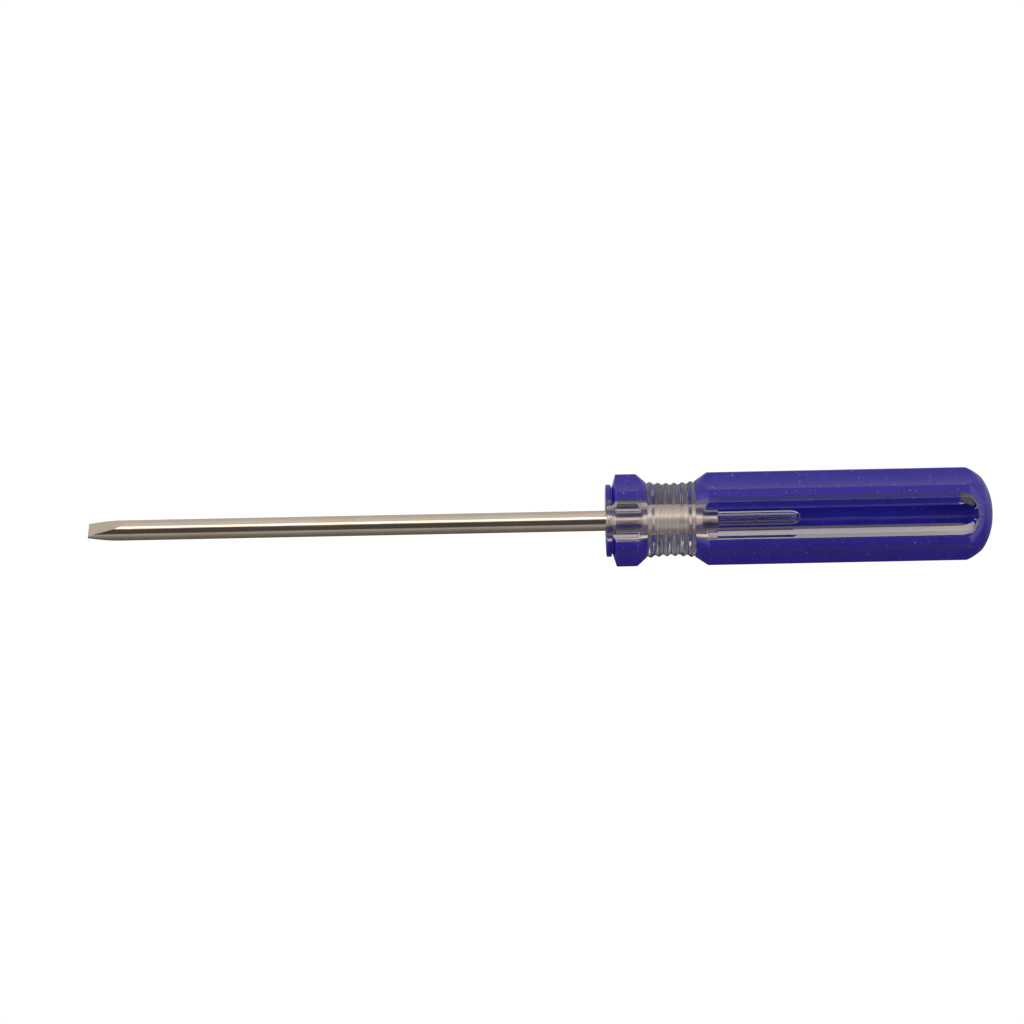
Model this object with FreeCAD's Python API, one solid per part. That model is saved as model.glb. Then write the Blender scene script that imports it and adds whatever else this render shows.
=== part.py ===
import FreeCAD, Part
import math
import os

# Small flat-blade screwdriver with a two-colour moulded handle.
# +X runs along the tool towards the handle's domed end, +Z is up.
# The origin is on the shaft's axis at the handle's front face.
# Angles about the axis are in degrees, from +Z towards +Y.

# Steel blade
SHAFT_RADIUS = 1.5
BLADE_LENGTH = 76.3            # tip to the handle's front face
TAPER_LENGTH = 5.9             # length of the ground flats
TIP_THICKNESS = 0.48
FLAT_ANGLE = 55.0              # direction that one ground flat faces
SHAFT_INSERTION = 16.4         # length of shaft held in the handle
KEY_GROOVE_RADIUS = 1.3        # groove just inside the handle that locks the shaft
KEY_GROOVE_LENGTH = 0.8
KEY_LIP_START = 0.2            # the plastic that fills the groove starts here
END_BEVEL_LENGTH = 0.9         # worn corner of each flat at the tip
END_BEVEL_DEPTH = 0.16

# Handle, lengths from its front face
HANDLE_LENGTH = 56.95
DISC_RADIUS = 5.34
DISC_THICKNESS = 0.8
GROOVE_RADIUS = 4.94
GROOVE_END = 0.92
COLLAR_RADIUS = 6.81
COLLAR_FLAT_START = 1.5
COLLAR_FLAT_END = 4.5
COLLAR_END = 5.97
COLLAR_END_RADIUS = 5.53
RING_COUNT = 6
RING_PITCH = 1.19
NECK_WAIST_RADIUS = 5.28       # middle of the rings at the neck's waist
NECK_END_RADIUS = 5.54
RING_HEIGHT = 0.14             # rings rise and fall by this much
BODY_RADIUS = 6.86
BODY_START = COLLAR_END + RING_COUNT * RING_PITCH
BODY_START_RADIUS = 5.60
CHAMFER_LENGTH = 1.85
DOME_START = 53.1
DOME_MIDDLE = (54.3, 6.22)
DOME_SHOULDER = (55.4, 5.35)
DOME_CROWN = (56.5, 3.2)

# Six-sided section: narrow round lands with shallow hollows between them
SIDES = 6
LAND_HALF_ANGLE = 9.0
HOLLOW_DEPTH_RATIO = 0.102

# Clear core inside the handle
ARM_COUNT = 3
WALL_ANGLE = 25.0              # lean of an arm's walls to the arm's middle plane
WALL_APEX = 0.95               # the walls' planes meet this far behind the axis
CORE_RADIUS = 3.5
CORE_END = 54.2                # end of the round core
ARM_END = 54.9                 # where an arm's end wall meets the dome
ARM_END_RADIUS = 5.3
BORE_RADIUS = 1.5
BORE_STRAIGHT_END = 27.1
BORE_END = 28.7
PILOT_RADIUS = 1.22            # bore beyond the shaft's end
BORE_END_RADIUS = 0.45
CUT_MARGIN = 1.0               # cutting tools reach this far past the material

X_AXIS = FreeCAD.Vector(1, 0, 0)
ORIGIN = FreeCAD.Vector(0, 0, 0)


def around(radius, angle, x=0.0):
    """Point at a radius and an angle about the tool's axis."""
    a = math.radians(angle)
    return FreeCAD.Vector(x, radius * math.sin(a), radius * math.cos(a))


def cylinder(radius, start, end):
    return Part.makeCylinder(radius, end - start, FreeCAD.Vector(start, 0, 0), X_AXIS)


def line(start, end):
    return Part.LineSegment(start, end).toShape()


def arc(start, middle, end):
    return Part.Arc(start, middle, end).toShape()


def revolved(points, arcs=()):
    """Solid of revolution about X from (x, radius) points.

    A stretch whose first point's index is in arcs is an arc through the
    point that follows it.
    """
    vectors = [FreeCAD.Vector(x, r, 0) for x, r in points]
    vectors.append(vectors[0])
    edges = []
    i = 0
    while i < len(vectors) - 1:
        if i in arcs:
            edges.append(arc(vectors[i], vectors[i + 1], vectors[i + 2]))
            i += 2
        else:
            edges.append(line(vectors[i], vectors[i + 1]))
            i += 1
    face = Part.Face(Part.Wire(edges))
    return face.revolve(ORIGIN, X_AXIS, 360)


def six_sided_prism(radius, start, end):
    """Prism of the handle's section, with its lands at the given radius."""
    step = 360.0 / SIDES
    hollow_radius = radius * (1 - HOLLOW_DEPTH_RATIO)
    edges = []
    for side in range(SIDES):
        crest = (side + 0.5) * step
        land_start = around(radius, crest - LAND_HALF_ANGLE, start)
        land_end = around(radius, crest + LAND_HALF_ANGLE, start)
        next_start = around(radius, crest + step - LAND_HALF_ANGLE, start)
        edges.append(arc(land_start, around(radius, crest, start), land_end))
        edges.append(arc(land_end, around(hollow_radius, crest + step / 2, start), next_start))
    face = Part.Face(Part.Wire(edges))
    return face.extrude(FreeCAD.Vector(end - start, 0, 0))


def sector(centre_angle, half_angle, start, end, apex=0.0):
    """Wedge-shaped prism that opens outwards past the handle.

    Its walls meet at the apex distance behind the axis.
    """
    reach = 4 * BODY_RADIUS
    tip = around(-apex, centre_angle, start)
    corners = [tip,
               tip + around(reach, centre_angle - half_angle),
               tip + around(reach, centre_angle + half_angle),
               tip]
    face = Part.Face(Part.makePolygon(corners))
    return face.extrude(FreeCAD.Vector(end - start, 0, 0))


def arm_angles():
    return [arm * 360.0 / ARM_COUNT for arm in range(ARM_COUNT)]


def collar_shape():
    """Front disc and six-sided collar, as one envelope."""
    envelope = revolved([(0, 0), (0, DISC_RADIUS), (DISC_THICKNESS, DISC_RADIUS),
                         (DISC_THICKNESS, GROOVE_RADIUS), (GROOVE_END, GROOVE_RADIUS),
                         (COLLAR_FLAT_START, COLLAR_RADIUS), (COLLAR_FLAT_END, COLLAR_RADIUS),
                         (COLLAR_END, COLLAR_END_RADIUS), (COLLAR_END, 0)])
    return envelope.common(six_sided_prism(COLLAR_RADIUS, 0, COLLAR_END))


def neck_middle(x):
    """Middle radius of the waisted neck's rings."""
    along = (x - COLLAR_END) / (BODY_START - COLLAR_END)
    return NECK_WAIST_RADIUS + (NECK_END_RADIUS - NECK_WAIST_RADIUS) * (2 * along - 1) ** 2


def neck_shape():
    """Waisted neck with rounded rings."""
    points = [(COLLAR_END, 0)]
    arcs = []
    for ring in range(RING_COUNT):
        valley = COLLAR_END + ring * RING_PITCH
        crest = valley + RING_PITCH / 2
        arcs.append(len(points))
        points.append((valley, neck_middle(valley) - RING_HEIGHT))
        points.append((crest, neck_middle(crest) + RING_HEIGHT))
    points.append((BODY_START, neck_middle(BODY_START) - RING_HEIGHT))
    points.append((BODY_START, 0))
    return revolved(points, arcs)


def body_shape():
    """Six-sided grip with a chamfered front and a domed end."""
    envelope = revolved([(BODY_START, 0), (BODY_START, BODY_START_RADIUS),
                         (BODY_START + CHAMFER_LENGTH, BODY_RADIUS),
                         (DOME_START, BODY_RADIUS), DOME_MIDDLE,
                         DOME_SHOULDER, DOME_CROWN, (HANDLE_LENGTH, 0)], arcs=(3, 5))
    return envelope.common(six_sided_prism(BODY_RADIUS, BODY_START, HANDLE_LENGTH))


def flat_cut(side):
    """Tool that grinds one of the two flats, in the blade's own frame with its tip at x = 0."""
    flat_start = TIP_THICKNESS / 2
    slope = (SHAFT_RADIUS - flat_start) / TAPER_LENGTH
    low = side * (flat_start - CUT_MARGIN * slope)
    high = side * SHAFT_RADIUS
    past = side * (SHAFT_RADIUS + CUT_MARGIN)
    y = -SHAFT_RADIUS - CUT_MARGIN
    outline = Part.makePolygon([FreeCAD.Vector(-CUT_MARGIN, y, low), FreeCAD.Vector(TAPER_LENGTH, y, high),
                                FreeCAD.Vector(TAPER_LENGTH, y, past), FreeCAD.Vector(-CUT_MARGIN, y, past),
                                FreeCAD.Vector(-CUT_MARGIN, y, low)])
    return Part.Face(outline).extrude(FreeCAD.Vector(0, -2 * y, 0))


def bevel_cut(side):
    """Tool that takes the worn corner off one flat, as a tetrahedron round the flat's corner."""
    corner = FreeCAD.Vector(0, -side * SHAFT_RADIUS, side * TIP_THICKNESS / 2)
    along = FreeCAD.Vector(END_BEVEL_LENGTH, 0, side * END_BEVEL_DEPTH)
    across = FreeCAD.Vector(0, side * 2 * SHAFT_RADIUS, 0)
    down = FreeCAD.Vector(0, 0, -side * END_BEVEL_DEPTH)
    out = FreeCAD.Vector(-CUT_MARGIN, -side * CUT_MARGIN, side * CUT_MARGIN)
    points = [corner + along, corner + across, corner + down, corner + out]
    faces = []
    for skipped in range(len(points)):
        ring = points[:skipped] + points[skipped + 1:]
        faces.append(Part.Face(Part.makePolygon(ring + ring[:1])))
    return Part.Solid(Part.Shell(faces))


def make_shaft():
    """Round shaft with a key groove and two ground flats that meet in a flat tip."""
    shaft = cylinder(SHAFT_RADIUS, -BLADE_LENGTH, 0)
    shaft = shaft.fuse(cylinder(KEY_GROOVE_RADIUS, 0, KEY_GROOVE_LENGTH))
    shaft = shaft.fuse(cylinder(SHAFT_RADIUS, KEY_GROOVE_LENGTH, SHAFT_INSERTION))
    tip = FreeCAD.Placement(FreeCAD.Vector(-BLADE_LENGTH, 0, 0), FreeCAD.Rotation(X_AXIS, -FLAT_ANGLE))
    for side in (1, -1):
        for tool in (flat_cut(side), bevel_cut(side)):
            tool.Placement = tip
            shaft = shaft.cut(tool)
    return shaft


def arm_wedge(angle):
    """Space that one arm takes in the grip, closed by its leaning end wall."""
    end_limit = revolved([(0, 0), (0, 4 * BODY_RADIUS), (DOME_START, 4 * BODY_RADIUS),
                          (ARM_END, ARM_END_RADIUS), (CORE_END, CORE_RADIUS), (CORE_END, 0)])
    return sector(angle, WALL_ANGLE, 0, HANDLE_LENGTH, WALL_APEX).common(end_limit)


def core_blank():
    """Clear core without its bore: disc, collar, neck, centre and three arms."""
    handle = collar_shape().fuse(body_shape())
    core = cylinder(CORE_RADIUS, 0, CORE_END).fuse(neck_shape())
    for angle in arm_angles():
        core = core.fuse(handle.common(arm_wedge(angle)))
    return core


def bored(blank):
    """Blank with the blind bore that holds the shaft and goes on narrower to its end."""
    bore = revolved([(-CUT_MARGIN, 0), (-CUT_MARGIN, BORE_RADIUS), (KEY_LIP_START, BORE_RADIUS),
                     (KEY_LIP_START, KEY_GROOVE_RADIUS), (KEY_GROOVE_LENGTH, KEY_GROOVE_RADIUS),
                     (KEY_GROOVE_LENGTH, BORE_RADIUS), (SHAFT_INSERTION, BORE_RADIUS),
                     (SHAFT_INSERTION, PILOT_RADIUS), (BORE_STRAIGHT_END, PILOT_RADIUS),
                     (BORE_END, BORE_END_RADIUS), (BORE_END, 0)])
    return blank.cut(bore).removeSplitter()


def coloured(envelope):
    """What is left of an envelope outside the clear core."""
    rest = envelope.cut(cylinder(CORE_RADIUS, 0, CORE_END))
    for angle in arm_angles():
        rest = rest.cut(arm_wedge(angle))
    return rest


def make_lobe(angle):
    """One coloured piece of the collar, between two of the core's arms."""
    return coloured(collar_shape().common(sector(angle, 180.0 / ARM_COUNT, 0, COLLAR_END)))


def make_shell():
    """Coloured grip shell: three panels joined over the domed end."""
    return coloured(body_shape())


def main():
    os.makedirs("parts", exist_ok=True)
    blank = core_blank()
    nodes = {"blade_shaft": make_shaft(),
             "clear_core": bored(blank),
             "grip_shell": make_shell()}
    for number, angle in enumerate(arm_angles(), start=1):
        nodes[f"collar_lobe_{number}"] = make_lobe(angle + 180.0 / ARM_COUNT)
    for name, shape in nodes.items():
        solids = shape.Solids
        print(name, "solids", len(solids), "valid", shape.isValid(), "volume", round(shape.Volume, 2))
        shape.exportStep(os.path.join("parts", name + ".step"))


main()
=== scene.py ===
import math

import bmesh
import bpy
import numpy as np
from mathutils import Matrix, Vector


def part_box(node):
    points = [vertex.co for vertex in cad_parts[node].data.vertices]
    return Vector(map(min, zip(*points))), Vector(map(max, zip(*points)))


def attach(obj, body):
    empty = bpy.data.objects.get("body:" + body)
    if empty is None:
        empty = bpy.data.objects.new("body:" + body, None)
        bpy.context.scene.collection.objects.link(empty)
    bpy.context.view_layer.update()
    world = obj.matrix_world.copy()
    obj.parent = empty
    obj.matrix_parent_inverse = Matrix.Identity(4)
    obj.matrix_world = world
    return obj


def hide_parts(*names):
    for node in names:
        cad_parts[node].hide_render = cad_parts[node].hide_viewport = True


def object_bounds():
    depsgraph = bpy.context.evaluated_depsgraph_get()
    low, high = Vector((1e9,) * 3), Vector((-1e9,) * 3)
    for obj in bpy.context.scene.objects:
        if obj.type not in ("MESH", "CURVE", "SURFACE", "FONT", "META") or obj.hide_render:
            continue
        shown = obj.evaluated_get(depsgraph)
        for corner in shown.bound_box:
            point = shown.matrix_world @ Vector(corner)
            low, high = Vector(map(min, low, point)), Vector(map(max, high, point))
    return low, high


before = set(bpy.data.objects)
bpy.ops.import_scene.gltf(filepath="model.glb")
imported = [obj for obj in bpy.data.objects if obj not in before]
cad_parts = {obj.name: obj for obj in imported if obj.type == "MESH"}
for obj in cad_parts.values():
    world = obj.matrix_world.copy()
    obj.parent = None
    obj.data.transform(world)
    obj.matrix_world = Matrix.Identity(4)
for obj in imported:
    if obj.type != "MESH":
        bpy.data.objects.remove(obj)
cad_low, cad_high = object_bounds()

# ---------------------------------------------------------------- sizes, in mm
MM = 0.001
lobe_low, lobe_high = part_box("collar_lobe_1")
shell_low, shell_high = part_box("grip_shell")
shaft_low, shaft_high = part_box("blade_shaft")

# Blade
TIP_X = shaft_low.x / MM
SHAFT_END = shaft_high.x / MM
SHAFT_RADIUS = (shaft_high.y - shaft_low.y) / 2 / MM
TAPER_LENGTH = 5.9
TIP_THICKNESS = 0.48
FLAT_ANGLE = 55.0
SHAFT_END_ROUND = 0.15
END_BEVEL_LENGTH = 0.9         # worn corner of each flat at the tip
END_BEVEL_DEPTH = 0.16

# Handle
COLLAR_END = lobe_high.x / MM
BODY_START = shell_low.x / MM
HANDLE_LENGTH = shell_high.x / MM
BODY_RADIUS = (shell_high.y - shell_low.y) / 2 / MM
COLLAR_INSET = 0.05            # the collar's lands are this much lower than the grip's
COLLAR_RADIUS = BODY_RADIUS - COLLAR_INSET
DISC_RADIUS = 5.34
DISC_THICKNESS = 0.8
DISC_ROUND = 0.18
DISC_STEP = 0.001              # the step behind the disc leans by this much
GROOVE_RADIUS = 4.94
GROOVE_END = 0.92
WEB_END = 1.35                 # clear web between the disc's and the collar's coloured pieces
COLLAR_FLAT_START = 1.5
COLLAR_FLAT_END = 4.5
COLLAR_END_RADIUS = 5.53
RING_COUNT = 6
NECK_WAIST_RADIUS = 5.28       # middle of the rings at the neck's waist
NECK_END_RADIUS = 5.54
RING_HEIGHT = 0.14             # rings rise and fall by this much
BODY_START_RADIUS = 5.60
CHAMFER_LENGTH = 1.85
DOME_START = 53.1
DOME_MIDDLE = (54.3, 6.22)
DOME_SHOULDER = (55.4, 5.35)
DOME_CROWN = (56.5, 3.2)

# Six-sided section
LAND_HALF_ANGLE = 9.0
HALF_SECTOR = 30.0             # from the middle of a hollow to the middle of a land
HOLLOW_DEPTH_RATIO = 0.102
CREASE_ROUND = 0.05            # softens the creases between lands and hollows
EDGE_ROUND = 0.10              # softens the edges of the chamfers

# Clear core
ARM_COUNT = 3
ARM_PITCH = 360 / ARM_COUNT
WALL_ANGLE = 25.0              # lean of an arm's walls to the arm's middle plane
WALL_APEX = 0.95               # the walls' planes meet this far behind the axis
DISC_ARM_HALF_ANGLE = 37.0
CORE_RADIUS = 3.5
ARM_STRAIGHT_END = 51.6        # the arms' rear ends are rounded from here
ARM_END = 54.9
CORE_END = 54.2
BORE_RADIUS = 1.49
PILOT_RADIUS = 1.22            # bore beyond the shaft's end
BORE_STRAIGHT_END = 27.1
BORE_END = 28.7

# Seats between the two plastics
WALL_GAP = 0.5                 # degrees of hairline gap along an arm's wall
REAR_GAP = 0.04
SEAT_GAP = 0.03                # gap at the ends of the coloured pieces
BOND = 0.02                    # overlap where clear and coloured plastic are bonded
BOND_ANGLE = math.degrees(BOND / CORE_RADIUS)

# Mesh: rows along the tool are close together round edges
ROUND_STEP = 0.03              # on the disc's rounded edges
DISC_FLAT_STEP = 0.08
WEB_STEP = 0.06
EDGE_STEP = 0.05               # round the edges of the chamfers
EDGE_REACH = 0.4               # the close rows go on this far past an edge
COLLAR_FLAT_STEP = 0.25
COLLAR_REAR_STEP = 0.08
RING_STEPS = 16
CHAMFER_STEP = 0.1
GRIP_EDGE_START = 14.35
GRIP_EDGE_END = 15.6
GRIP_STEP = 2.2
ARM_END_STEPS = 28
DOME_STEPS = 24
BORE_END_STEPS = 8
BORE_HOLD = 0.2                # row close to the bore's rounded end, which keeps its shading apart
TAPER_STEPS = 40
SHAFT_STEP = 4.0
SHAFT_MARGIN = 1.0             # plain rows stay this far from the taper and the handle
SHAFT_END_STEPS = 6
FLAT_COLUMNS = 17
ROUND_COLUMNS = 34
HAIR = 1e-5                    # keeps two rows at one place apart
SLOPE_STEP = 0.01              # length over which the dome's slope is measured
SHARP_ANGLE = 28.0             # degrees between faces that leave a sharp edge
MERGE_DISTANCE = 2e-4
SAME_PLACE = 1e-9              # metres between points that count as one


# ---------------------------------------------------------------- outlines
def smooth_min(a, b, width):
    """Smaller of two values, with the change between them rounded over a width."""
    h = np.clip(0.5 + 0.5 * (b - a) / width, 0, 1)
    return b * (1 - h) + a * h - width * h * (1 - h)


def circle_through(p, q, r):
    """Centre and radius of the circle through three points."""
    d = 2 * (p[0] * (q[1] - r[1]) + q[0] * (r[1] - p[1]) + r[0] * (p[1] - q[1]))
    pp, qq, rr = (v[0] ** 2 + v[1] ** 2 for v in (p, q, r))
    x = (pp * (q[1] - r[1]) + qq * (r[1] - p[1]) + rr * (p[1] - q[1])) / d
    y = (pp * (r[0] - q[0]) + qq * (p[0] - r[0]) + rr * (q[0] - p[0])) / d
    return x, y, math.hypot(p[0] - x, p[1] - y)


def arc_height(x, p, q, r):
    """Height at x of the upper arc through three points."""
    cx, cy, radius = circle_through(p, q, r)
    return cy + math.sqrt(max(radius**2 - (x - cx) ** 2, 0))


def section_radius(radius, angle):
    """Radius of the six-sided section, with its hollows centred on multiples of 60 degrees."""
    edge = math.radians(HALF_SECTOR - LAND_HALF_ANGLE)
    side = (radius * math.cos(edge), radius * math.sin(edge))
    floor = (radius * (1 - HOLLOW_DEPTH_RATIO), 0)
    centre, _, hollow = circle_through(side, floor, (side[0], -side[1]))
    turned = np.radians((angle + HALF_SECTOR) % (2 * HALF_SECTOR) - HALF_SECTOR)
    reach = centre * np.cos(turned) - np.sqrt(hollow**2 - (centre * np.sin(turned)) ** 2)
    return smooth_min(radius, reach, CREASE_ROUND)


def collar_envelope(x):
    """Radius of the front disc, the groove and the collar's chamfers.

    Between the chamfers it lies outside the lands.
    """
    if x <= DISC_THICKNESS:
        past = max(DISC_ROUND - x, x - DISC_THICKNESS + DISC_ROUND, 0)
        return DISC_RADIUS - DISC_ROUND + math.sqrt(max(DISC_ROUND**2 - past**2, 0))
    front_slope = (COLLAR_RADIUS - GROOVE_RADIUS) / (COLLAR_FLAT_START - GROOVE_END)
    rear_slope = (COLLAR_RADIUS - COLLAR_END_RADIUS) / (COLLAR_END - COLLAR_FLAT_END)
    front = GROOVE_RADIUS + (x - GROOVE_END) * front_slope
    rear = COLLAR_RADIUS - (x - COLLAR_FLAT_END) * rear_slope
    return max(min(front, rear), GROOVE_RADIUS)


def body_envelope(x):
    """Radius of the grip's chamfer and dome. Between them it lies outside the lands."""
    if x >= DOME_SHOULDER[0]:
        return arc_height(x, DOME_SHOULDER, DOME_CROWN, (HANDLE_LENGTH, 0))
    start = (DOME_START, BODY_RADIUS)
    if x >= DOME_START:
        return arc_height(x, start, DOME_MIDDLE, DOME_SHOULDER)
    drop = BODY_RADIUS - arc_height(DOME_START + SLOPE_STEP, start, DOME_MIDDLE, DOME_SHOULDER)
    rear = BODY_RADIUS + (DOME_START - x) * drop / SLOPE_STEP
    front = BODY_START_RADIUS + (x - BODY_START) * (BODY_RADIUS - BODY_START_RADIUS) / CHAMFER_LENGTH
    return min(front, rear)


def outer_radius(x, angle):
    """Radius of the handle's outside at a place along it and an angle about it."""
    if x < BODY_START:
        return smooth_min(collar_envelope(x), section_radius(COLLAR_RADIUS, angle), EDGE_ROUND)
    return smooth_min(body_envelope(x), section_radius(BODY_RADIUS, angle), EDGE_ROUND)


def ring_radius(x, angle):
    """Radius of the waisted neck, with rounded rings, at each angle."""
    along = (x - COLLAR_END) / (BODY_START - COLLAR_END)
    waist = NECK_WAIST_RADIUS + (NECK_END_RADIUS - NECK_WAIST_RADIUS) * (2 * along - 1) ** 2
    radius = waist - RING_HEIGHT * math.cos(2 * math.pi * RING_COUNT * along)
    return np.full(np.shape(angle), radius)


# ---------------------------------------------------------------- rows of the meshes
def places(*stretches):
    """Values from (start, end, step) stretches, each with both its ends."""
    found = []
    for start, end, step in stretches:
        count = max(round((end - start) / step), 1)
        found += [start + (end - start) * i / count for i in range(count + 1)]
    return found


def disc_places(end):
    """Places along the front disc."""
    flat = DISC_ROUND + 2 * ROUND_STEP
    return places((0, DISC_ROUND, ROUND_STEP), (flat, DISC_THICKNESS - flat, DISC_FLAT_STEP),
                  (DISC_THICKNESS - DISC_ROUND, end, ROUND_STEP))


def collar_places(start, end):
    """Places along the collar, between its web and its rear face."""
    flat_start = COLLAR_FLAT_START + EDGE_REACH
    flat_end = COLLAR_FLAT_END - EDGE_REACH
    rear_start = COLLAR_FLAT_END + EDGE_REACH
    return places((start, flat_start, EDGE_STEP), (flat_start + 4 * EDGE_STEP, flat_end, COLLAR_FLAT_STEP),
                  (flat_end + 2 * EDGE_STEP, rear_start, EDGE_STEP),
                  (rear_start + 2 * EDGE_STEP, end, COLLAR_REAR_STEP))


def grip_places(start):
    """Places along the grip, up to the rounded ends of the arms."""
    return places((start, GRIP_EDGE_START - EDGE_STEP, CHAMFER_STEP),
                  (GRIP_EDGE_START, GRIP_EDGE_END, EDGE_STEP),
                  (GRIP_EDGE_END + EDGE_REACH, ARM_STRAIGHT_END, GRIP_STEP))


def quarter_turns(count):
    """Angles of the given number of equal steps, after zero, up to a right angle."""
    return [step / count * math.pi / 2 for step in range(1, count + 1)]


def fine_arc():
    """Fractions from -1 to 1 across a 60 degree sector, close together at its two creases."""
    crease = HALF_SECTOR - LAND_HALF_ANGLE      # angle from the sector's middle
    half = places((0, 15, 3), (17, 18.5, 1.5), (crease - 1.8, crease + 1.8, 0.4), (23.4, 25, 1.6),
                  (27, HALF_SECTOR, 3))
    return np.array([-angle for angle in reversed(half[1:])] + half) / HALF_SECTOR


ARC = fine_arc()
WALL = np.array([0.04, 0.35, 0.7])      # places down a wall, from the outside to the core


def around(x, radius, angle):
    """Points from places, radii and angles in degrees, measured from +Z towards +Y."""
    a = np.radians(angle)
    x = np.broadcast_to(x, np.shape(radius))
    return np.stack([x, radius * np.sin(a), radius * np.cos(a)], axis=-1)


def constant(radius):
    """The same radius at each place and angle."""
    return lambda x, angle: np.full(np.shape(angle), float(radius))


def flat_at(x):
    """The same place along the tool at each radius."""
    return lambda radius: x + 0 * radius


def rows_to_piece(rows):
    """Grid of points, one row after another, as vertices and quads."""
    points = np.concatenate(rows)
    width = len(rows[0])
    faces = []
    for row in range(len(rows) - 1):
        for i in range(width):
            j = (i + 1) % width
            faces.append((row * width + i, row * width + j, (row + 1) * width + j, (row + 1) * width + i))
    return points, faces


def distinct_corners(verts, face):
    """Corners of a face, without those that lie on the corner before them."""
    ring = []
    for i in face:
        if not ring or (verts[i].co - ring[-1].co).length > SAME_PLACE:
            ring.append(verts[i])
    if len(ring) > 1 and (ring[0].co - ring[-1].co).length <= SAME_PLACE:
        ring.pop()
    return ring


def drop_fins(bm):
    """Delete the faces with a free edge, until none is left: they stand where two walls close up."""
    fins = True
    while fins:
        fins = [face for face in bm.faces if any(edge.is_boundary for edge in face.edges)]
        bmesh.ops.delete(bm, geom=fins, context="FACES")


def make_object(name, grids, planes=()):
    """Closed object from (points in mm, faces) grids, welded, with smooth faces and sharp edges.

    What stands above each (point, normal) plane is cut off.
    """
    bm = bmesh.new()
    for points, faces in grids:
        verts = [bm.verts.new(Vector(p) * MM) for p in points]
        for face in faces:
            ring = distinct_corners(verts, face)
            if len(ring) > 2:
                bm.faces.new(ring)
    bmesh.ops.remove_doubles(bm, verts=bm.verts, dist=MERGE_DISTANCE * MM)
    bmesh.ops.dissolve_degenerate(bm, edges=bm.edges, dist=MERGE_DISTANCE * MM)
    drop_fins(bm)
    loose = [v for v in bm.verts if not v.link_faces]
    bmesh.ops.delete(bm, geom=loose, context="VERTS")
    for point, normal in planes:
        cut = bmesh.ops.bisect_plane(bm, geom=bm.verts[:] + bm.edges[:] + bm.faces[:], plane_co=point * MM,
                                     plane_no=normal, clear_outer=True)
        rim = [e for e in cut["geom_cut"] if isinstance(e, bmesh.types.BMEdge)]
        bmesh.ops.contextual_create(bm, geom=rim)
    bmesh.ops.recalc_face_normals(bm, faces=bm.faces)
    mesh = bpy.data.meshes.new(name)
    bm.to_mesh(mesh)
    bm.free()
    mesh.shade_smooth()
    mesh.set_sharp_from_angle(angle=math.radians(SHARP_ANGLE))
    piece = bpy.data.objects.new(name, mesh)
    bpy.context.scene.collection.objects.link(piece)
    return piece


# ---------------------------------------------------------------- clear core
def arm_half_angle(radius):
    """Angle from an arm's middle to its straight wall, at a radius."""
    lean = math.radians(WALL_ANGLE)
    return WALL_ANGLE + np.degrees(np.arcsin(WALL_APEX * math.sin(lean) / radius))


def disc_half_angle(radius):
    """Angle from the middle of a clear sector of the disc to its edge, the same at each radius."""
    return DISC_ARM_HALF_ANGLE + 0 * radius


def edge_angle(x, half_angle):
    """Angle from an arm's middle to its wall at the handle's outside."""
    return half_angle(outer_radius(x, half_angle(BODY_RADIUS)))


def arm_end_place(turn, gap=0.0):
    """Place along the tool of an arm's rounded end, by radius, for a turn from 0 to a right angle.

    The end leans towards the core.
    """
    def place(radius):
        share = np.clip((radius - CORE_RADIUS) / (DOME_SHOULDER[1] - CORE_RADIUS), 0, 1)
        end = CORE_END + (ARM_END - CORE_END) * share - gap
        return ARM_STRAIGHT_END + (end - ARM_STRAIGHT_END) * math.sin(turn)
    return place


def core_row(half_angle, place, far_gap, squeeze=1.0):
    """Section with three arms out to the surface and the round core between them.

    place gives the section's x at a radius, and squeeze narrows the arms. The
    far gap is between each arm's wall towards +angle and the coloured piece,
    in degrees. A negative one is an overlap.
    """
    row = []
    x = place(BODY_RADIUS)
    edge = edge_angle(x, half_angle) * squeeze
    core = CORE_RADIUS + BOND
    between_arms = ARM_PITCH / 2 + ARC * (ARM_PITCH / 2 - half_angle(CORE_RADIUS) * squeeze)
    for arm in range(ARM_COUNT):
        centre = arm * ARM_PITCH
        angle = centre + ARC * edge
        outer = outer_radius(x, angle)
        down = outer[-1] + (core - outer[-1]) * WALL
        up = core + (outer[0] - core) * (1 - WALL[::-1])
        row += [around(x, outer, angle),
                around(place(down), down, centre + half_angle(down) * squeeze - far_gap),
                around(place(core), np.full(len(ARC), core), centre + between_arms),
                around(place(up), up, centre + ARM_PITCH - (half_angle(up) - WALL_GAP) * squeeze)]
    return np.concatenate(row)


def full_row(x, radius_at):
    """Full section with the same columns as core_row."""
    row = []
    edge = arm_half_angle(BODY_RADIUS)
    for arm in range(ARM_COUNT):
        centre = arm * ARM_PITCH
        angles = np.concatenate([centre + ARC * edge,
                                 np.full(len(WALL), centre + edge),
                                 centre + ARM_PITCH / 2 + ARC * (ARM_PITCH / 2 - edge),
                                 np.full(len(WALL), centre + ARM_PITCH - edge)])
        row.append(around(x, radius_at(x, angles), angles))
    return np.concatenate(row)


def bore_rows():
    """Rows of the blind bore, from its rounded end to the handle's front face."""
    rows = [full_row(BORE_END, constant(0))]
    for turn in quarter_turns(BORE_END_STEPS):
        x = BORE_STRAIGHT_END + (BORE_END - BORE_STRAIGHT_END) * math.cos(turn)
        rows.append(full_row(x, constant(PILOT_RADIUS * math.sin(turn))))
    shaft_seat = SHAFT_END + SEAT_GAP
    for x in (BORE_STRAIGHT_END - BORE_HOLD, shaft_seat):
        rows.append(full_row(x, constant(PILOT_RADIUS)))
    for x in (shaft_seat, 0):
        rows.append(full_row(x, constant(BORE_RADIUS)))
    return rows


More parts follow.
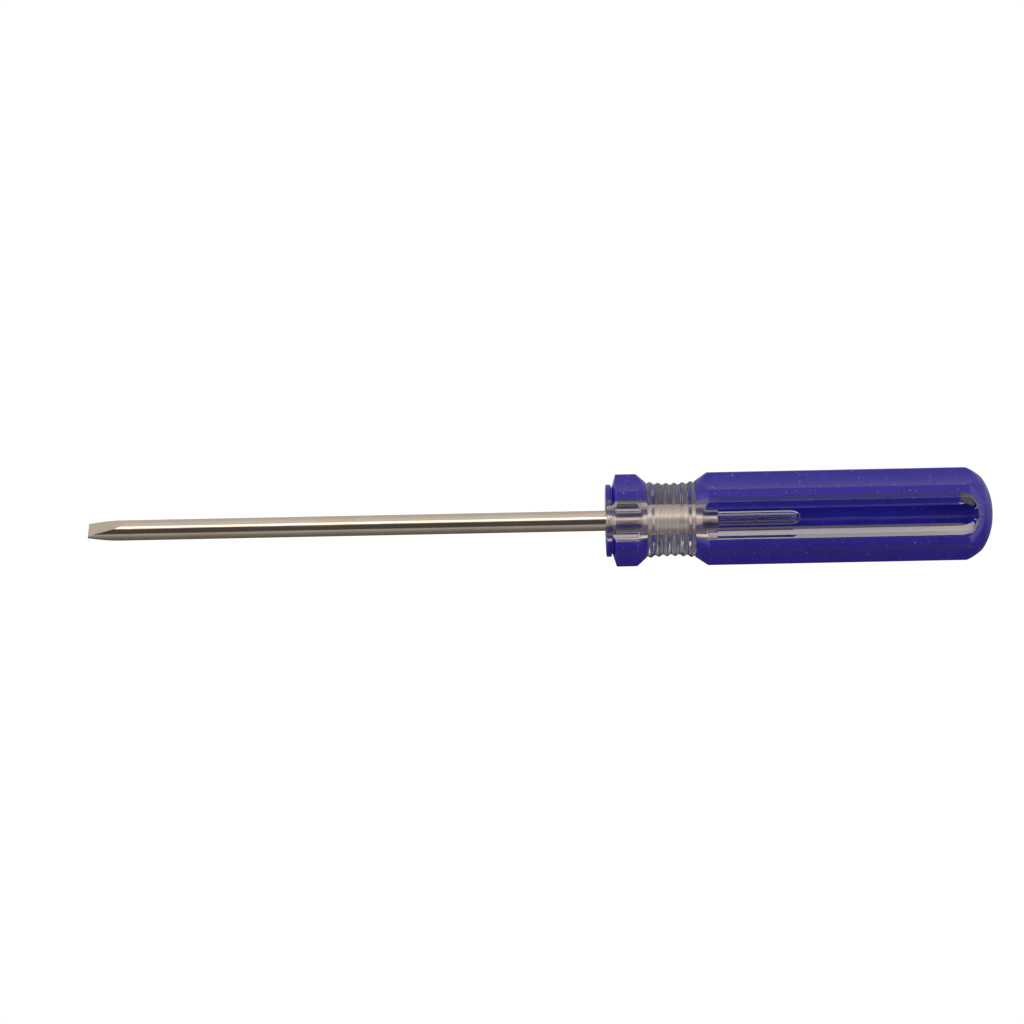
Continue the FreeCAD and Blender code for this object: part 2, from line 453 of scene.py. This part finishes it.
def make_clear_core():
    """Clear core as one closed surface: the bore, then the outside from the disc to the rear end."""
    rows = bore_rows()
    rows += [core_row(disc_half_angle, flat_at(x), WALL_GAP) for x in disc_places(DISC_THICKNESS)]
    rows += [full_row(x, outer_radius) for x in places((DISC_THICKNESS + DISC_STEP, WEB_END, WEB_STEP))]
    rows += [core_row(arm_half_angle, flat_at(x), WALL_GAP) for x in collar_places(WEB_END, COLLAR_END)]
    ring_pitch = (BODY_START - COLLAR_END) / RING_COUNT
    neck = places((COLLAR_END, BODY_START - HAIR, ring_pitch / RING_STEPS))
    rows += [full_row(x, ring_radius) for x in neck]
    rows += [core_row(arm_half_angle, flat_at(x), -BOND_ANGLE) for x in grip_places(BODY_START)]
    for turn in quarter_turns(ARM_END_STEPS):
        rows.append(core_row(arm_half_angle, arm_end_place(turn, REAR_GAP), 0, math.cos(turn)))
    rows.append(full_row(CORE_END - REAR_GAP, constant(0)))
    return make_object("clear_core_fine", [rows_to_piece(rows)])


# ---------------------------------------------------------------- coloured pieces
def panel_row(centre, half_angle, place, squeeze=1.0):
    """Section of one coloured panel, as a loop: outside, wall, inside, wall.

    place gives the section's x at a radius, and squeeze narrows the arms on
    both sides of the panel.
    """
    x = place(BODY_RADIUS)
    half = ARM_PITCH / 2
    angle = centre + ARC * (half - edge_angle(x, half_angle) * squeeze)
    outer = outer_radius(x, angle)
    down = outer[-1] + (CORE_RADIUS - outer[-1]) * WALL
    up = CORE_RADIUS + (outer[0] - CORE_RADIUS) * (1 - WALL[::-1])
    inner = centre + ARC[::-1] * (half - half_angle(CORE_RADIUS) * squeeze)
    return np.concatenate([
        around(x, outer, angle),
        around(place(down), down, centre + half - half_angle(down) * squeeze),
        around(place(CORE_RADIUS), np.full(len(ARC), CORE_RADIUS), inner),
        around(place(up), up, centre - half + half_angle(up) * squeeze)])


def end_faces(offset):
    """Faces that close a panel's section across one end."""
    n, w = len(ARC), len(WALL)
    inner = [n + w + i for i in range(n)][::-1]
    faces = [[i, i + 1, inner[i + 1], inner[i]] for i in range(1, n - 2)]
    faces.append([0, 1, inner[1], inner[0]] + [n + w + n + i for i in range(w)])
    faces.append([n - 2, n - 1] + [n + i for i in range(w)] + [inner[n - 1], inner[n - 2]])
    return [[offset + i for i in face] for face in faces]


def panel_grid(rows, closed_rear):
    """Loft of panel rows, closed across its front end, and across its rear end if asked."""
    points, faces = rows_to_piece(rows)
    faces += end_faces(0)
    if closed_rear:
        faces += end_faces((len(rows) - 1) * len(rows[0]))
    return points, faces


def panel_centre(number):
    """Angle of the middle of a coloured panel or lobe, counted from 0."""
    return ARM_PITCH / 2 + number * ARM_PITCH


def make_grip_shell():
    """Three panels between the arms, joined by the dome and by the floor behind the core."""
    grids = []
    for number in range(ARM_COUNT):
        centre = panel_centre(number)
        rows = [panel_row(centre, arm_half_angle, flat_at(x)) for x in grip_places(BODY_START + SEAT_GAP)]
        for turn in quarter_turns(ARM_END_STEPS):
            rows.append(panel_row(centre, arm_half_angle, arm_end_place(turn), math.cos(turn)))
        grids.append(panel_grid(rows, closed_rear=False))
    ring = np.concatenate([panel_centre(number) + ARC[:-1] * ARM_PITCH / 2 for number in range(ARM_COUNT)])
    tip = np.zeros(len(ring))
    dome = [around(ARM_END, outer_radius(ARM_END, ring), ring)]
    for turn in quarter_turns(DOME_STEPS)[:-1]:
        x = ARM_END + (HANDLE_LENGTH - ARM_END) * math.sin(turn)
        dome.append(around(x, outer_radius(x, ring), ring))
    dome.append(around(HANDLE_LENGTH, tip, ring))
    grids.append(rows_to_piece(dome))
    floor = [around(CORE_END, np.full(len(ring), CORE_RADIUS), ring), around(CORE_END, tip, ring)]
    grids.append(rows_to_piece(floor))
    return make_object("grip_shell_fine", grids)


def make_lobe(number):
    """Coloured piece of the collar, with its piece of the front disc."""
    centre = panel_centre(number - 1)
    collar = [panel_row(centre, arm_half_angle, flat_at(x))
              for x in collar_places(WEB_END - BOND, COLLAR_END - SEAT_GAP)]
    disc = [panel_row(centre, disc_half_angle, flat_at(x)) for x in disc_places(DISC_THICKNESS - SEAT_GAP)]
    grids = [panel_grid(rows, closed_rear=True) for rows in (collar, disc)]
    return make_object(f"collar_lobe_{number}_fine", grids)


# ---------------------------------------------------------------- blade
def shaft_row(x, radius, half_thickness):
    """Round section with two flats, which close up where the half thickness reaches the radius."""
    share = min(half_thickness / radius, 1)
    corner = math.degrees(math.acos(share))
    across = np.linspace(-1, 1, FLAT_COLUMNS) * radius * math.sin(math.radians(corner))
    row = []
    for side in (0, 180):
        centre = FLAT_ANGLE + side
        flat_radius = np.hypot(across, radius * share)
        flat_angle = np.degrees(np.arctan2(across, radius * share))
        row.append(around(x, flat_radius, centre + flat_angle))
        arc = np.linspace(corner, 180 - corner, ROUND_COLUMNS)[1:-1]
        row.append(around(x, np.full(len(arc), radius), centre + arc))
    return np.concatenate(row)


def bevel_plane(side):
    """Plane of the worn corner of one flat."""
    turned = Matrix.Rotation(math.radians(-FLAT_ANGLE), 3, "X")
    half = TIP_THICKNESS / 2
    along = Vector((END_BEVEL_LENGTH, -side * SHAFT_RADIUS, side * (half + END_BEVEL_DEPTH)))
    across = Vector((0, side * SHAFT_RADIUS, side * half))
    down = Vector((0, -side * SHAFT_RADIUS, side * (half - END_BEVEL_DEPTH)))
    normal = (along - across).cross(down - across)
    if normal.z * side < 0:
        normal.negate()
    return Vector((TIP_X, 0, 0)) + turned @ across, turned @ normal.normalized()


def make_blade():
    """Round shaft from the flat tip to its end inside the handle."""
    slope = (SHAFT_RADIUS - TIP_THICKNESS / 2) / TAPER_LENGTH
    rows = []
    for step in range(TAPER_STEPS + 1):
        x = TIP_X + TAPER_LENGTH * (1 - (1 - step / TAPER_STEPS) ** 2)
        rows.append(shaft_row(x, SHAFT_RADIUS, TIP_THICKNESS / 2 + (x - TIP_X) * slope))
    tip_middle = rows[0] * 0 + np.array([TIP_X, 0, 0])
    rows.insert(0, tip_middle)
    for x in places((TIP_X + TAPER_LENGTH + SHAFT_MARGIN, -SHAFT_MARGIN, SHAFT_STEP),
                    (0, SHAFT_END - SHAFT_END_ROUND, SHAFT_STEP)):
        rows.append(shaft_row(x, SHAFT_RADIUS, SHAFT_RADIUS))
    for turn in quarter_turns(SHAFT_END_STEPS):
        radius = SHAFT_RADIUS - SHAFT_END_ROUND * (1 - math.cos(turn))
        rows.append(shaft_row(SHAFT_END - SHAFT_END_ROUND * (1 - math.sin(turn)), radius, radius))
    end_middle = rows[-1] * 0 + np.array([SHAFT_END, 0, 0])
    rows.append(end_middle)
    planes = [bevel_plane(side) for side in (1, -1)]
    return make_object("blade_shaft_fine", [rows_to_piece(rows)], planes)


# ---------------------------------------------------------------- materials
# Each material's two colours are mixed by clouds of noise
OUTER_BLUE = ((0.020, 0.010, 0.29), (0.026, 0.014, 0.32))
# The second blue is the same plastic made far brighter: painted light for the coloured faces inside the
# clear core, which get little light through it
BONDED_BLUE_PAINTED_LIGHT = ((0.050, 0.038, 0.74), (0.060, 0.046, 0.82))
CLEAR_TINT = ((0.88, 0.86, 0.94), (0.94, 0.92, 0.98))
PLATING = ((0.92, 0.82, 0.71), (0.83, 0.73, 0.61))
DUST = (0.35, 0.33, 0.5)       # specks on the blue plastic
PLASTIC_IOR = 1.5
SEAT_WEAR_LENGTH = 0.0005      # metres inside the handle over which the shaft turns dull
SEAT_WEAR = 0.25               # roughness that it gains there


def new_material(name):
    material = bpy.data.materials.new(name)
    material.use_nodes = True
    tree = material.node_tree
    shader = tree.nodes["Principled BSDF"]
    return material, tree, shader


def node(tree, kind, **values):
    """New node, with values for its sockets or its settings."""
    made = tree.nodes.new(kind)
    for key, value in values.items():
        if key in made.inputs:
            made.inputs[key].default_value = value
        else:
            setattr(made, key, value)
    return made


def coordinates(tree, kind):
    """X, Y and Z outputs of the place in one kind of coordinates."""
    place = node(tree, "ShaderNodeTexCoord")
    split = node(tree, "ShaderNodeSeparateXYZ")
    tree.links.new(place.outputs[kind], split.inputs[0])
    return split.outputs


def noise(tree, scale, detail, stretch=(1, 1, 1)):
    """Noise in object space, in features per metre."""
    place = node(tree, "ShaderNodeTexCoord")
    mapping = node(tree, "ShaderNodeMapping")
    mapping.inputs["Scale"].default_value = stretch
    texture = node(tree, "ShaderNodeTexNoise", Scale=scale, Detail=detail)
    tree.links.new(place.outputs["Object"], mapping.inputs["Vector"])
    tree.links.new(mapping.outputs["Vector"], texture.inputs["Vector"])
    return texture.outputs["Fac"]


def between(tree, value, low, high, to_low, to_high):
    """Value mapped from one range to another and clamped."""
    mapped = node(tree, "ShaderNodeMapRange")
    for key, number in (("From Min", low), ("From Max", high), ("To Min", to_low), ("To Max", to_high)):
        mapped.inputs[key].default_value = number
    tree.links.new(value, mapped.inputs["Value"])
    return mapped.outputs["Result"]


def mixed(tree, factor, a, b):
    """Colour mixed from two, by a factor."""
    mix = node(tree, "ShaderNodeMix", data_type="RGBA")
    tree.links.new(factor, mix.inputs[0])
    for socket, colour in ((mix.inputs[6], a), (mix.inputs[7], b)):
        if isinstance(colour, tuple):
            socket.default_value = (*colour, 1)
        else:
            tree.links.new(colour, socket)
    return mix.outputs[2]


def bump(tree, shader, height, distance, strength):
    relief = node(tree, "ShaderNodeBump", Distance=distance, Strength=strength)
    tree.links.new(height, relief.inputs["Height"])
    tree.links.new(relief.outputs["Normal"], shader.inputs["Normal"])


def blue_plastic(name, colours):
    """Glossy moulded plastic with faint clouds, specks of dust and a slightly uneven skin."""
    material, tree, shader = new_material(name)
    link = tree.links.new
    shader.inputs["IOR"].default_value = PLASTIC_IOR
    cloud = between(tree, noise(tree, 180, 3), 0.35, 0.65, 0, 1)
    base = mixed(tree, cloud, *colours)
    dust = between(tree, noise(tree, 2600, 1), 0.72, 0.76, 0, 0.5)
    link(mixed(tree, dust, base, DUST), shader.inputs["Base Color"])
    link(between(tree, noise(tree, 500, 3), 0.3, 0.7, 0.16, 0.26), shader.inputs["Roughness"])
    bump(tree, shader, noise(tree, 900, 3), 0.00001, 0.5)
    return material


def clear_plastic():
    """Clear moulded plastic with a faint haze and flow lines along the tool."""
    material, tree, shader = new_material("clear_plastic_gloss")
    link = tree.links.new
    shader.inputs["Transmission Weight"].default_value = 1.0
    shader.inputs["IOR"].default_value = PLASTIC_IOR
    haze = between(tree, noise(tree, 300, 2), 0.3, 0.7, 0, 1)
    link(mixed(tree, haze, *CLEAR_TINT), shader.inputs["Base Color"])
    link(between(tree, noise(tree, 700, 2), 0.3, 0.7, 0.01, 0.05), shader.inputs["Roughness"])
    bump(tree, shader, noise(tree, 500, 2, (0.4, 1, 1)), 0.00002, 0.3)
    return material


def plated_steel():
    """Plated wire with fine draw lines along it, duller where it sits in the handle."""
    material, tree, shader = new_material("plated_steel_drawn")
    link = tree.links.new
    shader.inputs["Metallic"].default_value = 1.0
    drawn = noise(tree, 9000, 4, (0.01, 1, 1))
    cloud = between(tree, noise(tree, 120, 3), 0.3, 0.7, 0, 1)
    link(mixed(tree, cloud, *PLATING), shader.inputs["Base Color"])
    worn = node(tree, "ShaderNodeMath", operation="ADD")
    link(between(tree, drawn, 0.3, 0.7, 0.10, 0.22), worn.inputs[0])
    link(between(tree, coordinates(tree, "Object")["X"], 0, SEAT_WEAR_LENGTH, 0, SEAT_WEAR), worn.inputs[1])
    link(worn.outputs[0], shader.inputs["Roughness"])
    bump(tree, shader, drawn, 0.000003, 0.4)
    return material


# ---------------------------------------------------------------- pieces
# A face is bonded to the core unless it looks outwards or to the rear by more than these; bonded faces get
# the brighter blue, which is painted light
BONDED_OUTWARD = 0.3
BONDED_REARWARD = 0.6


def dress(piece, node_name, slot, *materials):
    """Materials and frame marks of a piece; a second material goes on faces bonded to the core. That second
    material is a brighter copy of the blue, painted light for the coloured faces seen through the clear
    core.
    """
    for material in materials:
        piece.data.materials.append(material)
    for face in piece.data.polygons:
        outward = Vector((0, face.center.y, face.center.z)).normalized()
        bonded = face.normal.dot(outward) < BONDED_OUTWARD and face.normal.x < BONDED_REARWARD
        face.material_index = 1 if bonded and len(materials) > 1 else 0
    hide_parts(node_name)
    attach(piece, "root")


# Outer blue, and a brighter blue that paints light onto the faces bonded to the core
blues = (blue_plastic("blue_plastic_gloss", OUTER_BLUE), blue_plastic("blue_plastic_bonded_painted_light", BONDED_BLUE_PAINTED_LIGHT))
dress(make_blade(), "blade_shaft", "plated_steel", plated_steel())
dress(make_clear_core(), "clear_core", "clear_plastic", clear_plastic())
dress(make_grip_shell(), "grip_shell", "blue_plastic", *blues)
for number in range(1, ARM_COUNT + 1):
    dress(make_lobe(number), f"collar_lobe_{number}", "blue_plastic", *blues)

# ---------------------------------------------------------------- floor, light and camera, in metres
FLOOR_SIZE = 3.0
FLOOR_PAINTED_SHADOW = (0.13, 0.125, 0.12)        # painted shadow of the tool on the floor's -Y side, which the tool's -Y side gets back from the floor
FLOOR_LIGHT = (0.58, 0.57, 0.56)
FLOOR_FADE = 0.006                      # the two mix over this distance on each side of the tool
FLOOR_ROUGHNESS = 0.7
FLOOR_WHITE = 1.05                      # how bright the camera sees the floor

# Room brightness by angle from +Z towards +Y
SKY = ((-120, 0.16), (-75, 0.20), (-46, 0.42), (-38, 0.055),
       (14, 0.055), (20, 0.60), (60, 0.62), (120, 0.55))
ROOM_TINT = (1.0, 0.94, 0.87)
ROOM_END_COLOUR = (1.3, 1.27, 1.23)     # past the tool's two ends
ROOM_END_START = 0.35                   # share of a direction that is along X
ROOM_END_FULL = 0.6

SOFTBOX_ANGLE = 32.5                    # from +Z towards +Y
SOFTBOX_DISTANCE = 0.8
SOFTBOX_SIZE = (1.2, 0.31)
SOFTBOX_RADIANCE = 1.15
SOFTBOX_COLOUR = (1.0, 0.95, 0.88)

SENSOR_WIDTH = 36.0                     # mm
VIEW_DISTANCE = 0.600
VIEW_WIDTH = 0.1510                     # width of the view at the tool's axis
VIEW_CENTRE = Vector((-0.01380, 0.00157, 0))
VIEW_ROLL = 1.16                        # degrees
VIEW_LEAN = 0.6                         # degrees that the camera stands towards +Y


def make_floor():
    """Floor that is plain white to the camera and grey in what it lights, with a painted shadow that
    darkens it on the tool's -Y side.
    """
    bpy.ops.mesh.primitive_plane_add(size=FLOOR_SIZE, location=(0, 0, cad_low.z))
    floor = bpy.context.object
    floor.name = "floor"
    material, tree, shader = new_material("floor_white_painted_shadow")
    # Painted shadow: the floor's grey is darker on the tool's -Y side
    shadow_fade = between(tree, coordinates(tree, "Object")["Y"], -FLOOR_FADE, FLOOR_FADE, 0, 1)
    tree.links.new(mixed(tree, shadow_fade, FLOOR_PAINTED_SHADOW, FLOOR_LIGHT), shader.inputs["Base Color"])
    shader.inputs["Roughness"].default_value = FLOOR_ROUGHNESS
    white = node(tree, "ShaderNodeEmission", Strength=FLOOR_WHITE)
    white.inputs["Color"].default_value = (1, 1, 1, 1)
    path = node(tree, "ShaderNodeLightPath")
    mix = node(tree, "ShaderNodeMixShader")
    tree.links.new(path.outputs["Is Camera Ray"], mix.inputs[0])
    tree.links.new(shader.outputs[0], mix.inputs[1])
    tree.links.new(white.outputs[0], mix.inputs[2])
    tree.links.new(mix.outputs[0], tree.nodes["Material Output"].inputs["Surface"])
    floor.data.materials.append(material)


def make_world():
    """Room whose brightness changes with the angle about the tool."""
    world = bpy.data.worlds.new("studio")
    bpy.context.scene.world = world
    world.use_nodes = True
    tree = world.node_tree
    direction = coordinates(tree, "Generated")
    turn = node(tree, "ShaderNodeMath", operation="ARCTAN2")
    tree.links.new(direction["Y"], turn.inputs[0])
    tree.links.new(direction["Z"], turn.inputs[1])
    share = between(tree, turn.outputs[0], -math.pi, math.pi, 0, 1)
    ramp = node(tree, "ShaderNodeValToRGB")
    tree.links.new(share, ramp.inputs[0])
    stops = ramp.color_ramp.elements
    while len(stops) < len(SKY):
        stops.new(0.5)
    for stop, (angle, level) in zip(stops, SKY):
        stop.position = (angle + 180) / 360
        stop.color = (*(level * tint for tint in ROOM_TINT), 1)
    length = node(tree, "ShaderNodeMath", operation="ABSOLUTE")
    tree.links.new(direction["X"], length.inputs[0])
    ends = between(tree, length.outputs[0], ROOM_END_START, ROOM_END_FULL, 0, 1)
    sky = mixed(tree, ends, ramp.outputs["Color"], ROOM_END_COLOUR)
    tree.links.new(sky, tree.nodes["Background"].inputs["Color"])


def make_softbox():
    """Soft box that faces the tool."""
    data = bpy.data.lights.new("softbox_back", "AREA")
    data.shape = "RECTANGLE"
    data.size, data.size_y = SOFTBOX_SIZE
    data.energy = SOFTBOX_RADIANCE * math.pi * math.prod(SOFTBOX_SIZE)
    data.color = SOFTBOX_COLOUR
    lamp = bpy.data.objects.new("softbox_back", data)
    bpy.context.scene.collection.objects.link(lamp)
    angle = math.radians(SOFTBOX_ANGLE)
    lamp.location = Vector((0, math.sin(angle), math.cos(angle))) * SOFTBOX_DISTANCE
    lamp.rotation_euler = (-angle, 0, 0)


def make_camera():
    """Camera that looks down at the tool, slightly turned."""
    data = bpy.data.cameras.new("camera")
    data.sensor_width = SENSOR_WIDTH
    data.lens = SENSOR_WIDTH * VIEW_DISTANCE / VIEW_WIDTH
    camera = bpy.data.objects.new("camera", data)
    bpy.context.scene.collection.objects.link(camera)
    lean = math.radians(VIEW_LEAN)
    towards = Vector((0, math.sin(lean), math.cos(lean)))
    camera.location = VIEW_CENTRE + towards * VIEW_DISTANCE
    roll = Matrix.Rotation(math.radians(-VIEW_ROLL), 3, "Z")
    camera.rotation_euler = (Matrix.Rotation(-lean, 3, "X") @ roll).to_euler()
    bpy.context.scene.camera = camera


make_floor()
make_world()
make_softbox()
make_camera()
bpy.context.scene.view_settings.view_transform = "Standard"
